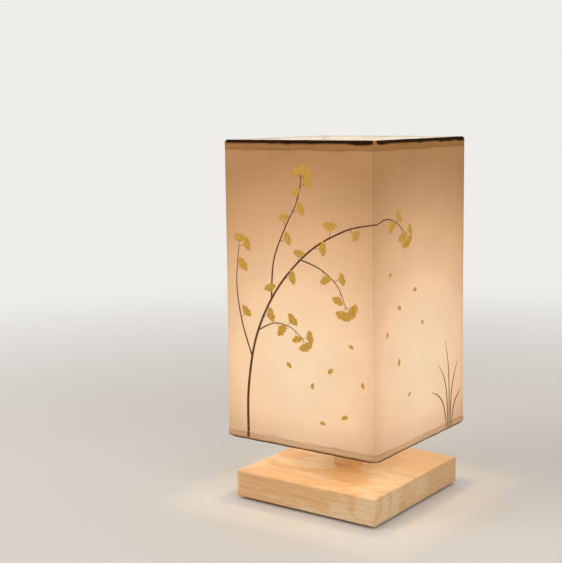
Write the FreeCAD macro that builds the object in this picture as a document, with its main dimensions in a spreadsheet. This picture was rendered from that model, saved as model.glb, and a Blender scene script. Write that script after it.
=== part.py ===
"""A square fabric table lamp on a wooden base, in millimetres, +Z up, standing on z = 0 round its axis.

A lampholder stands on the block, a nut on it clamps the fitter of a square wire frame, and four sewn cloth
panels with rolled hems cover the frame. The front panel faces -Y.
"""

import FreeCAD, Part
import os
import re

import Sketcher

# Driving sizes. A radial gap is the clearance on each side of a round fit.
SIZES = {
    # wooden base
    "base_side": 140,
    "base_height": 22.5,
    "base_corner_round": 1.6,
    "base_edge_round": 0.8,
    "recess_radius": 26,
    "recess_depth": 13,
    "cord_hole_radius": 3.5,
    "cord_hole_floor": 3.5,
    "cord_hole_chamfer": 0.8,
    "tube_hole_gap": 0.25,
    # feet under the base
    "foot_radius": 7,
    "foot_height": 2.5,
    "foot_inset": 16,
    "foot_bevel": 0.4,
    # threaded tube that holds the lampholder, with its washer and nut
    "tube_radius": 5,
    "tube_wall": 1.5,
    "tube_bevel": 0.5,
    "tube_tail": 2.5,
    "tube_engagement": 8,
    "thread_gap": 0.05,
    "washer_radius": 12,
    "washer_thickness": 1.5,
    "nut_flats": 15,
    "nut_height": 3.5,
    "nut_bevel": 0.7,
    # spacer sleeve under the lampholder
    "sleeve_radius": 12,
    "sleeve_height": 14,
    "sleeve_wall": 2,
    "sleeve_web": 2.5,
    "sleeve_bevel": 0.6,
    # lower half of the lampholder's casing
    "neck_radius": 11,
    "neck_height": 5,
    "neck_blend": 2,
    "neck_bevel": 0.6,
    "dome_round": 7,
    "cap_wall": 1.8,
    "cap_height": 27,
    "chamber_floor": 9,
    "chamber_radius": 13,
    # locking screw in the neck
    "lock_screw_radius": 1.5,
    "lock_screw_height": 3,
    "lock_screw_gap": 0.1,
    "lock_screw_sink": 0.3,
    "lock_slot_width": 0.6,
    "lock_slot_depth": 0.7,
    # ceramic insert
    "insert_radius": 15.4,
    "insert_gap": 0.4,
    "insert_bottom": 14,
    "insert_top": 29,
    "insert_bevel": 0.8,
    "flange_bottom": 20,
    "flange_thickness": 2.5,
    "flange_wall_gap": 0.4,
    "pit_radius": 7.5,
    "pit_depth": 2,
    # terminal screws under the insert
    "terminal_reach": 8,
    "terminal_head_radius": 2.5,
    "terminal_head_height": 2.2,
    "terminal_shank_radius": 1.5,
    "terminal_shank_length": 6,
    "terminal_hole_gap": 0.1,
    "terminal_slot_width": 0.8,
    "terminal_slot_depth": 0.9,
    # spring contact in the pit of the insert
    "strip_width": 5,
    "strip_thickness": 0.6,
    "strip_heel": 6.3,
    "strip_foot_length": 2.6,
    "strip_ramp_end": 1.2,
    "strip_toe": 2.6,
    "strip_nose": 4.4,
    "strip_nose_drop": 0.9,
    "contact_gap": 0.15,
    # brass screw shell
    "shell_gap": 0.3,
    "shell_wall": 0.5,
    "shell_height": 22,
    "shell_lip_radius": 8.2,
    # upper half of the lampholder's casing
    "skirt_thread_radius": 19.7,
    "skirt_wall": 2.3,
    "skirt_height": 58,
    "spigot_wall": 2,
    "spigot_gap": 0.3,
    "collar_height": 4,
    "seat_radius": 23,
    "seat_thickness": 2,
    "skirt_lip_height": 3,
    "skirt_lip_gap": 1.3,
    "skirt_bevel": 0.6,
    # nut that clamps the shade
    "ring_gap": 0.3,
    "ring_radius": 27.5,
    "ring_flange": 2.2,
    "ring_height": 9,
    "ring_wall": 2.4,
    "ring_bevel": 0.5,
    "rib_thickness": 1.6,
    "rib_inset": 1,
    "rib_top_drop": 1.2,
    "rib_root": 0.6,
    # steel ring of the shade
    "fitter_gap": 0.7,
    "fitter_radius": 28.5,
    "fitter_thickness": 1.5,
    # wire frame of the shade
    "wire_radius": 1.5,
    "frame_bend": 3,
    "rod_radius": 1.25,
    "arm_radius": 1.5,
    "arm_bend": 8,
    # cloth cover of the shade
    "shade_gap": 31.5,
    "shade_side": 148,
    "shade_height": 254,
    "cloth": 0.6,
    "fold_gap": 0.15,
    "hem_height": 8,
    "hem_pinch": 6.6,
    "seam_allowance": 5.5,
    "corner_notch": 8,
    "arm_notch": 5,
    # bulb
    "bulb_centre": 76,
    "bulb_radius": 30,
    "bulb_flare": 42,
    "bulb_neck": 12.4,
    "bulb_wall": 1,
    "bulb_foot": 18,
    "tip_radius": 4.6,
    "tip_flat": 3.2,
    "tip_dome": 1,
    "tip_height": 1.5,
    "insulator_foot": 5,
    "insulator_height": 3,
    "insulator_core": 1.5,
    "bulb_cap_radius": 13.05,
    "bulb_cap_wall": 0.45,
    "bulb_cap_height": 27,
    "bulb_cap_cone": 3,
    "bulb_cap_rim": 13.9,
    "bulb_cap_rim_height": 2.5,
    "bulb_cap_rim_slope": 1.5,
    # glass mount, wires and filament in the bulb
    "mount_gap": 0.2,
    "mount_foot": 20,
    "mount_wall": 1,
    "mount_flare_top": 34,
    "mount_waist": 4,
    "pinch_radius": 3.2,
    "pinch_top": 46,
    "mount_rod_radius": 1.1,
    "mount_rod_top": 61,
    "button_radius": 2.2,
    "button_height": 1.6,
    "lead_radius": 0.4,
    "lead_reach": 2.2,
    "lead_straight": 5,
    "lead_bend": 6,
    "filament_span": 11,
    "filament_radius": 0.45,
    "filament_rise": 3.5,
    "filament_gap": 0.05,
    # how far a cut runs past what it cuts
    "overrun": 1,
}

# Angles and numbers of copies, which no length changes.
COUNTS = {"arm_slope": 45, "ring_ribs": 14}

# Sizes that follow from the driving ones.
WORKED_OUT = {
    # heights above the table, from the feet up
    "base_half": "base_side / 2",
    "recess_roof": "foot_height + recess_depth",
    "base_top": "foot_height + base_height",
    "holder_floor": "base_top + sleeve_height",
    "shade_bottom": "base_top + shade_gap",
    "foot_reach": "(base_half - foot_inset) * sqrt(2)",
    "cord_hole_height": "cord_hole_floor + cord_hole_radius",
    # tube, washer and nut
    "tube_hole": "tube_radius + tube_hole_gap",
    "thread_hole": "tube_radius + thread_gap",
    "tube_bore": "tube_radius - tube_wall",
    "washer_bottom": "recess_roof - washer_thickness",
    "nut_bottom": "washer_bottom - nut_height",
    "tube_bottom": "nut_bottom - tube_tail",
    "tube_length": "holder_floor + tube_engagement - tube_bottom",
    "nut_corner": "nut_flats / sqrt(3)",
    "nut_flat_half": "nut_flats / 2",
    # casing, from the neck up
    "shoulder_radius": "neck_radius + neck_blend",
    "shoulder_height": "neck_height + neck_blend",
    "cap_radius": "shoulder_radius + dome_round",
    "dome_top": "shoulder_height + dome_round",
    "cap_bore": "cap_radius - cap_wall",
    "insert_hole": "insert_radius + insert_gap",
    "flange_radius": "cap_bore - flange_wall_gap",
    "spigot_bottom": "flange_bottom + flange_thickness",
    "spigot_radius": "cap_bore - spigot_gap",
    "spigot_bore": "spigot_radius - spigot_wall",
    "seat_bottom": "cap_height + collar_height",
    "seat_top": "seat_bottom + seat_thickness",
    "skirt_bore": "skirt_thread_radius - skirt_wall",
    "skirt_mouth": "bulb_cap_rim + skirt_lip_gap",
    "lock_hole": "lock_screw_radius + lock_screw_gap",
    "lock_tip": "tube_radius + lock_screw_gap",
    "lock_head": "neck_radius - lock_screw_sink",
    # insert, contact and screw shell
    "pit_floor": "insert_top - pit_depth",
    "terminal_hole": "terminal_shank_radius + terminal_hole_gap",
    "terminal_bottom": "insert_bottom - terminal_head_height",
    "terminal_top": "insert_bottom + terminal_shank_length",
    "shell_bore": "bulb_cap_radius + shell_gap",
    "shell_radius": "shell_bore + shell_wall",
    "tip_seat": "insert_top + contact_gap + strip_thickness + contact_rise",
    "contact_rise": "shell_wall / 2",
    "strip_top": "tip_seat - contact_gap",
    # clamping nut and fitter
    "ring_bore": "skirt_thread_radius + ring_gap",
    "ring_collar": "ring_bore + ring_wall",
    "ring_floor": "holder_floor + seat_top + fitter_thickness",
    "rib_reach": "ring_radius - rib_inset",
    "fitter_bore": "skirt_thread_radius + fitter_gap",
    "fitter_bottom": "holder_floor + seat_top",
    "fitter_middle": "fitter_bottom + fitter_thickness / 2",
    # cloth fold round the wire, and where the wires lie
    "shade_half": "shade_side / 2",
    "two_cloths": "cloth * 2",
    "fold_bore": "wire_radius + fold_gap",
    "fold_radius": "fold_bore + cloth",
    "fold_depth": "fold_radius * 2",
    "fold_reach": "hem_pinch - fold_radius",
    "fold_square": "pow(fold_reach; 2) + pow(fold_bore; 2)",
    "leg_run_share": "fold_bore * fold_reach * 2 / fold_square",
    "leg_rise_share": "(pow(fold_reach; 2) - pow(fold_bore; 2)) / fold_square",
    "bore_leg_x": "cloth + fold_reach * leg_run_share",
    "bore_leg_z": "hem_pinch - fold_reach * leg_rise_share",
    "outer_leg_x": "bore_leg_x + cloth * leg_rise_share",
    "outer_leg_z": "bore_leg_z + cloth * leg_run_share",
    "outer_pinch": "outer_leg_z + (outer_leg_x - two_cloths) * leg_rise_share / leg_run_share",
    "ring_half": "shade_half - fold_radius",
    "ring_straight": "ring_half - frame_bend",
    "bottom_wire": "shade_bottom + fold_radius",
    "top_wire": "shade_bottom + shade_height - fold_radius",
    "upper_fold": "shade_height - fold_radius",
    "upper_hem": "shade_height - hem_height",
    "rod_reach": "(ring_half - frame_bend) * sqrt(2) + frame_bend",
    "rod_bottom": "bottom_wire + wire_radius",
    "rod_length": "top_wire - bottom_wire - wire_radius * 2",
    "arm_drop": "fitter_middle - bottom_wire",
    "arm_run": "arm_drop / tan(arm_slope)",
    "arm_corner": "ring_half - arm_run",
    "arm_lead": "arm_bend * tan(arm_slope / 2)",
    "arm_bend_x": "arm_corner + arm_lead * cos(arm_slope)",
    "arm_bend_z": "arm_lead * sin(arm_slope)",
    "arm_end_x": "ring_half - wire_radius * cos(arm_slope)",
    "arm_end_z": "arm_drop - wire_radius * sin(arm_slope)",
    # bulb
    "bulb_floor": "holder_floor + tip_seat",
    "flare_reach": "bulb_neck + bulb_flare",
    "flare_drop": "sqrt(pow(bulb_radius + bulb_flare; 2) - pow(flare_reach; 2))",
    "flare_bottom": "bulb_centre - flare_drop",
    "globe_share": "bulb_radius / (bulb_radius + bulb_flare)",
    "globe_x": "flare_reach * globe_share",
    "globe_z": "bulb_centre - flare_drop * globe_share",
    "hollow_radius": "bulb_radius - bulb_wall",
    "hollow_flare": "bulb_flare + bulb_wall",
    "hollow_share": "hollow_radius / (bulb_radius + bulb_flare)",
    "hollow_x": "flare_reach * hollow_share",
    "hollow_z": "bulb_centre - flare_drop * hollow_share",
    "hollow_neck": "bulb_neck - bulb_wall",
    "insulator_top": "tip_height + insulator_height",
    "cap_foot": "bulb_cap_radius - bulb_cap_cone",
    "cap_inside": "bulb_cap_radius - bulb_cap_wall",
    "insulator_radius": "cap_foot - bulb_cap_wall",
    "cap_rim_inside": "bulb_cap_rim - bulb_cap_wall",
    "cap_rim_bottom": "bulb_cap_height - bulb_cap_rim_height",
    "cap_slope_bottom": "cap_rim_bottom - bulb_cap_rim_slope",
    "mount_radius": "hollow_neck - mount_gap",
    "button_top": "mount_rod_top + button_height",
    "lead_top": "bulb_centre - filament_radius - filament_gap",
    "support_height": "lead_top + filament_rise - button_top",
    "filament_bow": "(pow(filament_span; 2) + pow(filament_rise; 2)) / (filament_rise * 2)",
}

LEFT, RIGHT = 1, -1
FULL_TURN = 360
QUARTER_TURN = 90
# How far an edge may be from a place, as a share of its own length, and still count as lying there.
CLOSE_SHARE = 0.001

doc = FreeCAD.newDocument("table_lamp")
sheet = doc.addObject("Spreadsheet::Sheet", "Size")
parts = []


def fill_sheet():
    """Put every size in the sheet, a row each, with its name as alias."""
    rows = {**SIZES, **COUNTS, **{name: "=" + formula for name, formula in WORKED_OUT.items()}}
    for row, (name, content) in enumerate(rows.items(), start=1):
        sheet.set(f"A{row}", name)
        sheet.set(f"B{row}", str(content))
        sheet.setAlias(f"B{row}", name)
    doc.recompute()


def cell(words):
    """An expression on the sheet's cells, from one that only names the sizes."""
    return re.sub(r"[a-z]\w*", lambda name: "Size." + name.group(), words)


def size(words):
    """The present value of such an expression."""
    return float(sheet.evalExpression(cell(words)))


def origin_feature(body, role):
    """The plane or axis of a body's own origin that has this role."""
    return next(feature for feature in body.Origin.OriginFeatures if feature.Role == role)


def new_body(name, z="0", x="0", y="0", angle=0, solids=1):
    """A body of its own label, placed at sizes of the sheet and turned about Z by an angle in degrees."""
    body = doc.addObject("PartDesign::Body", name)
    body.Label = name
    body.AllowCompound = solids > 1
    body.Placement.Rotation = FreeCAD.Rotation(FreeCAD.Vector(0, 0, 1), angle)
    for axis, words in (("x", x), ("y", y), ("z", z)):
        if words != "0":
            body.setExpression(f"Placement.Base.{axis}", cell(words))
    parts.append((body, solids))
    return body


def new_sketch(body, name, role, offset="0"):
    """An empty sketch on an origin plane of the body, moved along the plane's normal by a size."""
    sketch = body.newObject("Sketcher::SketchObject", name)
    sketch.AttachmentSupport = [(origin_feature(body, role), "")]
    sketch.MapMode = "FlatFace"
    if offset != "0":
        sketch.setExpression("AttachmentOffset.Base.z", cell(offset))
    return sketch


def hold(sketch, kind, where, words):
    """Bind a constraint of a sketch to a size."""
    index = sketch.addConstraint(Sketcher.Constraint(kind, *where, size(words)))
    sketch.setExpression(f"Constraints[{index}]", cell(words))


def place_point(sketch, geometry, point, corner):
    """Fix one point of a sketch at two sizes, or on an axis where the size is zero."""
    for words, kind, axis in zip(corner, ("DistanceX", "DistanceY"), (-2, -1)):
        if words == "0":
            sketch.addConstraint(Sketcher.Constraint("PointOnObject", geometry, point, axis))
        else:
            hold(sketch, kind, (-1, 1, geometry, point), words)


def draw_line(sketch, start, end, corners, arcs, closed=True):
    """Add the edges between corners start to end of a list; arcs maps an edge to its radius and side."""
    points = [FreeCAD.Vector(size(x), size(y), 0) for x, y in corners]
    count = len(points)
    edges = range(start, end)
    first = sketch.GeometryCount
    ends = []
    for edge in edges:
        a, b = points[edge], points[(edge + 1) % count]
        if edge in arcs:
            words, side = arcs[edge]
            radius = size(words)
            across = FreeCAD.Vector(a.y - b.y, b.x - a.x, 0).normalize() * side
            half = (b - a).Length / 2
            depth = max(radius ** 2 - half ** 2, 0) ** 0.5
            crown = (a + b) / 2 + across * (depth - radius)
            index = sketch.addGeometry(Part.Arc(a, crown, b), False)
            swapped = (sketch.getPoint(index, 1) - a).Length > (sketch.getPoint(index, 1) - b).Length
            ends.append((2, 1) if swapped else (1, 2))
            hold(sketch, "Radius", (index,), words)
        else:
            sketch.addGeometry(Part.LineSegment(a, b), False)
            ends.append((1, 2))
    total = len(ends)
    for step in range(total if closed else total - 1):
        after = (step + 1) % total
        joined = (first + step, ends[step][1], first + after, ends[after][0])
        sketch.addConstraint(Sketcher.Constraint("Coincident", *joined))
    for step, edge in enumerate(edges):
        place_point(sketch, first + step, ends[step][0], corners[edge])
    if not closed:
        place_point(sketch, first + total - 1, ends[-1][1], corners[end])


def outline(sketch, corners, arcs=None):
    """Draw a closed outline in a sketch."""
    draw_line(sketch, 0, len(corners), corners, arcs or {})


def route(sketch, corners, arcs=None):
    """Draw an open line in a sketch."""
    draw_line(sketch, 0, len(corners) - 1, corners, arcs or {}, closed=False)


def circle(sketch, radius, centre=("0", "0")):
    """Draw a circle in a sketch."""
    middle = FreeCAD.Vector(size(centre[0]), size(centre[1]), 0)
    index = sketch.addGeometry(Part.Circle(middle, FreeCAD.Vector(0, 0, 1), size(radius)), False)
    if centre == ("0", "0"):
        sketch.addConstraint(Sketcher.Constraint("Coincident", index, 3, -1, 1))
    else:
        place_point(sketch, index, 3, centre)
    hold(sketch, "Radius", (index,), radius)


def rectangle(sketch, low_x, low_y, high_x, high_y):
    """Draw a rectangle in a sketch."""
    outline(sketch, [(low_x, low_y), (high_x, low_y), (high_x, high_y), (low_x, high_y)])


def pad(body, name, sketch, length, midplane=False, reverse=False):
    """Raise a sketch by a size."""
    feature = body.newObject("PartDesign::Pad", name)
    feature.Profile = sketch
    feature.setExpression("Length", cell(length))
    feature.SideType = "Symmetric" if midplane else "One side"
    feature.Reversed = reverse
    doc.recompute()
    return feature


def pocket(body, name, sketch, depth=None, reverse=False, midplane=False):
    """Cut a sketch out of the body by a size, or right through it, and check that it cuts."""
    before = body.Shape.Volume
    feature = body.newObject("PartDesign::Pocket", name)
    feature.Profile = sketch
    if depth is None:
        feature.Type = "ThroughAll"
    else:
        feature.setExpression("Length", cell(depth))
    feature.SideType = "Symmetric" if midplane else "One side"
    feature.Reversed = reverse
    doc.recompute()
    if not body.Shape.Volume < before:
        raise RuntimeError(f"{body.Label} {name} cuts nothing")
    return feature


def turn(body, name, sketch, axis="V_Axis"):
    """Turn a sketch round the body's axis, or round one of its own edges."""
    feature = body.newObject("PartDesign::Revolution", name)
    feature.Profile = sketch
    feature.ReferenceAxis = (sketch, [axis])
    feature.Angle = FULL_TURN
    doc.recompute()
    return feature


def groove(body, name, sketch):
    """Cut a sketch out of the body all round its axis, and check that it cuts."""
    before = body.Shape.Volume
    feature = body.newObject("PartDesign::Groove", name)
    feature.Profile = sketch
    feature.ReferenceAxis = (sketch, ["V_Axis"])
    feature.Angle = FULL_TURN
    doc.recompute()
    if not body.Shape.Volume < before:
        raise RuntimeError(f"{body.Label} {name} cuts nothing")
    return feature


def repeat(body, name, features, count):
    """Repeat features round the body's axis."""
    pattern = body.newObject("PartDesign::PolarPattern", name)
    pattern.Originals = features
    pattern.Axis = (origin_feature(body, "Z_Axis"), [""])
    pattern.Angle = FULL_TURN
    if isinstance(count, str):
        pattern.setExpression("Occurrences", cell(count))
    else:
        pattern.Occurrences = count
    body.Tip = pattern
    doc.recompute()
    return pattern


def pipe(body, name, section, spine):
    """Carry a section along the edges of another sketch."""
    feature = body.newObject("PartDesign::AdditivePipe", name)
    feature.Profile = section
    feature.Spine = (spine, [f"Edge{number}" for number in range(1, len(spine.Shape.Edges) + 1)])
    doc.recompute()
    return feature


def edges_where(shape, test):
    """The names of a shape's edges for which the test holds."""
    return [f"Edge{number}" for number, edge in enumerate(shape.Edges, start=1) if test(edge)]


def soften(body, name, kind, base, test, amount):
    """Round or bevel the edges of a feature for which the test holds."""
    feature = body.newObject(f"PartDesign::{kind}", name)
    feature.Base = (base, edges_where(base.Shape, test))
    feature.setExpression("Radius" if kind == "Fillet" else "Size", cell(amount))
    doc.recompute()
    return feature


def is_upright(edge):
    """Whether an edge runs along Z."""
    box = edge.BoundBox
    return box.ZLength > box.XLength + box.YLength


def lies_at(height, low="ZMin", high="ZMax"):
    """A test for edges that lie at one height, or at one place along the axis that low and high name."""
    def test(edge):
        far = max(abs(getattr(edge.BoundBox, low) - height), abs(getattr(edge.BoundBox, high) - height))
        return far < edge.Length * CLOSE_SHARE
    return test


def base_block():
    """The wooden block, with a recess under it, a hole for the tube and a drilled way for a cord."""
    body = new_body("base_block", z="foot_height")
    square = new_sketch(body, "square", "XY_Plane")
    rectangle(square, "-base_half", "-base_half", "base_half", "base_half")
    block = pad(body, "block", square, "base_height")
    corners = soften(body, "corner_rounds", "Fillet", block, is_upright, "base_corner_round")
    top_edges = lies_at(size("base_height"))
    top_rounded = soften(body, "top_rounds", "Fillet", corners, top_edges, "base_edge_round")
    soften(body, "bottom_rounds", "Fillet", top_rounded, lies_at(0), "base_edge_round")
    recess = new_sketch(body, "recess_outline", "XY_Plane")
    circle(recess, "recess_radius")
    pocket(body, "recess", recess, "recess_depth", reverse=True)
    tube_hole = new_sketch(body, "tube_hole_outline", "XY_Plane")
    circle(tube_hole, "tube_hole")
    pocket(body, "tube_hole", tube_hole, reverse=True)
    cord_hole = new_sketch(body, "cord_hole_outline", "XZ_Plane")
    circle(cord_hole, "cord_hole_radius", ("0", "cord_hole_height"))
    drilled = pocket(body, "cord_hole", cord_hole)
    on_back = lies_at(size("base_half"), "YMin", "YMax")
    soften(body, "cord_hole_mouth", "Chamfer", drilled,
           lambda edge: edge.Curve.TypeId == "Part::GeomCircle" and on_back(edge), "cord_hole_chamfer")


def foot_pads():
    """Four round pads near the corners of the block."""
    body = new_body("foot_pads", angle=QUARTER_TURN / 2, solids=4)
    section = new_sketch(body, "section", "XZ_Plane")
    outline(section, [
        ("foot_reach", "0"),
        ("foot_reach + foot_radius - foot_bevel", "0"),
        ("foot_reach + foot_radius", "foot_bevel"),
        ("foot_reach + foot_radius", "foot_height"),
        ("foot_reach", "foot_height"),
    ])
    foot = turn(body, "pad", section, axis="Edge5")
    repeat(body, "pads", [foot], 4)


def threaded_tube():
    """The hollow tube that passes through the block into the lampholder's neck."""
    body = new_body("threaded_tube", z="tube_bottom")
    section = new_sketch(body, "section", "XZ_Plane")
    outline(section, [
        ("tube_bore", "0"),
        ("tube_radius - tube_bevel", "0"),
        ("tube_radius", "tube_bevel"),
        ("tube_radius", "tube_length - tube_bevel"),
        ("tube_radius - tube_bevel", "tube_length"),
        ("tube_bore", "tube_length"),
    ])
    turn(body, "tube", section)


def base_washer():
    """The washer in the roof of the recess."""
    body = new_body("base_washer", z="washer_bottom")
    section = new_sketch(body, "section", "XZ_Plane")
    rectangle(section, "tube_hole", "0", "washer_radius", "washer_thickness")
    turn(body, "washer", section)


def base_nut():
    """The hexagon nut under the washer, with its corners turned off top and bottom."""
    body = new_body("base_nut", z="nut_bottom")
    hexagon = new_sketch(body, "hexagon", "XY_Plane")
    outline(hexagon, [
        ("nut_corner", "0"),
        ("nut_corner / 2", "nut_flat_half"),
        ("-nut_corner / 2", "nut_flat_half"),
        ("-nut_corner", "0"),
        ("-nut_corner / 2", "-nut_flat_half"),
        ("nut_corner / 2", "-nut_flat_half"),
    ])
    pad(body, "nut", hexagon, "nut_height")
    hole = new_sketch(body, "hole_outline", "XY_Plane")
    circle(hole, "thread_hole")
    pocket(body, "hole", hole, reverse=True)
    bevel = new_sketch(body, "bevel_outline", "XZ_Plane")
    outline(bevel, [
        ("nut_corner - nut_bevel", "nut_height"),
        ("nut_corner + overrun", "nut_height - nut_bevel / 2 - overrun / 2"),
        ("nut_corner + overrun", "nut_height + overrun"),
        ("nut_corner - nut_bevel", "nut_height + overrun"),
    ])
    outline(bevel, [
        ("nut_corner - nut_bevel", "0"),
        ("nut_corner + overrun", "nut_bevel / 2 + overrun / 2"),
        ("nut_corner + overrun", "-overrun"),
        ("nut_corner - nut_bevel", "-overrun"),
    ])
    groove(body, "bevels", bevel)


def stem_sleeve():
    """The hollow spacer that lifts the lampholder off the wood."""
    body = new_body("stem_sleeve", z="base_top")
    section = new_sketch(body, "section", "XZ_Plane")
    outline(section, [
        ("sleeve_radius - sleeve_wall", "0"),
        ("sleeve_radius", "0"),
        ("sleeve_radius", "sleeve_height - sleeve_bevel"),
        ("sleeve_radius - sleeve_bevel", "sleeve_height"),
        ("tube_hole", "sleeve_height"),
        ("tube_hole", "sleeve_height - sleeve_web"),
        ("sleeve_radius - sleeve_wall", "sleeve_height - sleeve_web"),
    ])
    turn(body, "sleeve", section)


def holder_cap():
    """The lower half of the lampholder's casing: threaded neck, flared shoulder and wiring chamber."""
    body = new_body("holder_cap", z="holder_floor")
    section = new_sketch(body, "section", "XZ_Plane")
    outline(section, [
        ("thread_hole", "0"),
        ("neck_radius - neck_bevel", "0"),
        ("neck_radius", "neck_bevel"),
        ("neck_radius", "neck_height"),
        ("shoulder_radius", "shoulder_height"),
        ("cap_radius", "dome_top"),
        ("cap_radius", "cap_height"),
        ("cap_bore", "cap_height"),
        ("cap_bore", "flange_bottom"),
        ("insert_hole", "flange_bottom"),
        ("insert_hole", "insert_bottom"),
        ("chamber_radius", "insert_bottom"),
        ("chamber_radius", "chamber_floor"),
        ("thread_hole", "chamber_floor"),
    ], {3: ("neck_blend", RIGHT), 4: ("dome_round", LEFT)})
    turn(body, "casing", section)
    screw = new_sketch(body, "lock_hole_outline", "XZ_Plane")
    circle(screw, "lock_hole", ("0", "lock_screw_height"))
    pocket(body, "lock_hole", screw)


def neck_screw():
    """The slotted screw that locks the tube in the neck."""
    body = new_body("neck_screw", z="holder_floor")
    round_end = new_sketch(body, "shank_outline", "XZ_Plane", offset="-lock_tip")
    circle(round_end, "lock_screw_radius", ("0", "lock_screw_height"))
    pad(body, "shank", round_end, "lock_head - lock_tip", reverse=True)
    slot = new_sketch(body, "slot_outline", "XZ_Plane", offset="-lock_head")
    rectangle(slot, "-lock_slot_width / 2", "lock_screw_height - lock_hole",
              "lock_slot_width / 2", "lock_screw_height + lock_hole")
    pocket(body, "slot", slot, "lock_slot_depth", reverse=True)


def holder_insert():
    """The ceramic insert: a flanged plug with a pit for the contact and holes for the terminal screws."""
    body = new_body("holder_insert", z="holder_floor")
    section = new_sketch(body, "section", "XZ_Plane")
    outline(section, [
        ("0", "insert_bottom"),
        ("insert_radius - insert_bevel", "insert_bottom"),
        ("insert_radius", "insert_bottom + insert_bevel"),
        ("insert_radius", "flange_bottom"),
        ("flange_radius", "flange_bottom"),
        ("flange_radius", "spigot_bottom"),
        ("insert_radius", "spigot_bottom"),
        ("insert_radius", "insert_top - insert_bevel"),
        ("insert_radius - insert_bevel", "insert_top"),
        ("pit_radius", "insert_top"),
        ("pit_radius", "pit_floor"),
        ("0", "pit_floor"),
    ])
    turn(body, "plug", section)
    holes = new_sketch(body, "terminal_hole_outlines", "XY_Plane", offset="insert_bottom")
    circle(holes, "terminal_hole", ("terminal_reach", "0"))
    circle(holes, "terminal_hole", ("-terminal_reach", "0"))
    pocket(body, "terminal_holes", holes, "terminal_shank_length + terminal_hole_gap", reverse=True)


def terminal_screws():
    """Two slotted screws under the insert, where the conductors are clamped."""
    body = new_body("terminal_screws", z="holder_floor", solids=2)
    section = new_sketch(body, "section", "XZ_Plane")
    outline(section, [
        ("terminal_reach", "terminal_bottom"),
        ("terminal_reach + terminal_head_radius", "terminal_bottom"),
        ("terminal_reach + terminal_head_radius", "insert_bottom"),
        ("terminal_reach + terminal_shank_radius", "insert_bottom"),
        ("terminal_reach + terminal_shank_radius", "terminal_top"),
        ("terminal_reach", "terminal_top"),
    ])
    screw = turn(body, "screw", section, axis="Edge6")
    slot = new_sketch(body, "slot_outline", "XY_Plane", offset="terminal_bottom")
    rectangle(slot, "terminal_reach - terminal_slot_width / 2", "-terminal_head_radius - overrun",
              "terminal_reach + terminal_slot_width / 2", "terminal_head_radius + overrun")
    cut = pocket(body, "slot", slot, "terminal_slot_depth", reverse=True)
    repeat(body, "screws", [screw, cut], 2)


def centre_contact():
    """The sprung strip whose crown meets the tip of the bulb."""
    body = new_body("centre_contact", z="holder_floor")
    side = new_sketch(body, "side_view", "XZ_Plane")
    outline(side, [
        ("-strip_heel", "pit_floor"),
        ("-strip_heel + strip_foot_length", "pit_floor"),
        ("-strip_ramp_end", "strip_top - strip_thickness"),
        ("strip_toe", "strip_top - strip_thickness"),
        ("strip_nose", "strip_top - strip_thickness - strip_nose_drop"),
        ("strip_nose", "strip_top - strip_nose_drop"),
        ("strip_toe", "strip_top"),
        ("-strip_ramp_end", "strip_top"),
        ("-strip_heel + strip_foot_length", "pit_floor + strip_thickness"),
        ("-strip_heel", "pit_floor + strip_thickness"),
    ])
    pad(body, "strip", side, "strip_width", midplane=True)


def screw_shell():
    """The brass shell that the bulb screws into."""
    body = new_body("screw_shell", z="holder_floor")
    section = new_sketch(body, "section", "XZ_Plane")
    outline(section, [
        ("shell_lip_radius", "insert_top"),
        ("shell_radius", "insert_top"),
        ("shell_radius", "insert_top + shell_height"),
        ("shell_bore", "insert_top + shell_height"),
        ("shell_bore", "insert_top + shell_wall"),
        ("shell_lip_radius", "insert_top + shell_wall"),
    ])
    turn(body, "shell", section)


def holder_skirt():
    """The upper half of the casing: spigot, seat for the shade and threaded skirt with a guarded mouth."""
    body = new_body("holder_skirt", z="holder_floor")
    section = new_sketch(body, "section", "XZ_Plane")
    outline(section, [
        ("spigot_bore", "spigot_bottom"),
        ("spigot_radius", "spigot_bottom"),
        ("spigot_radius", "cap_height"),
        ("cap_radius", "cap_height"),
        ("cap_radius", "seat_bottom"),
        ("seat_radius", "seat_bottom"),
        ("seat_radius", "seat_top"),
        ("skirt_thread_radius", "seat_top"),
        ("skirt_thread_radius", "skirt_height - skirt_bevel"),
        ("skirt_thread_radius - skirt_bevel", "skirt_height"),
        ("skirt_mouth", "skirt_height"),
        ("skirt_mouth", "skirt_height - skirt_lip_height"),
        ("skirt_bore", "skirt_height - skirt_lip_height"),
        ("skirt_bore", "seat_bottom"),
        ("spigot_bore", "cap_height"),
    ])
    turn(body, "skirt", section)


def shade_ring():
    """The nut that clamps the shade: a flange, a threaded collar and finger ribs between them."""
    body = new_body("shade_ring", z="ring_floor")
    section = new_sketch(body, "section", "XZ_Plane")
    outline(section, [
        ("ring_bore", "0"),
        ("ring_radius", "0"),
        ("ring_radius", "ring_flange - ring_bevel"),
        ("ring_radius - ring_bevel", "ring_flange"),
        ("ring_collar", "ring_flange"),
        ("ring_collar", "ring_height - ring_bevel"),
        ("ring_collar - ring_bevel", "ring_height"),
        ("ring_bore", "ring_height"),
    ])
    turn(body, "nut", section)
    side = new_sketch(body, "rib_side", "XZ_Plane")
    outline(side, [
        ("ring_collar - rib_root", "ring_flange - rib_root"),
        ("rib_reach", "ring_flange - rib_root"),
        ("rib_reach", "ring_flange"),
        ("ring_collar", "ring_height - rib_top_drop"),
        ("ring_collar - rib_root", "ring_height - rib_top_drop"),
    ])
    rib = pad(body, "rib", side, "rib_thickness", midplane=True)
    repeat(body, "ribs", [rib], "ring_ribs")


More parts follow.
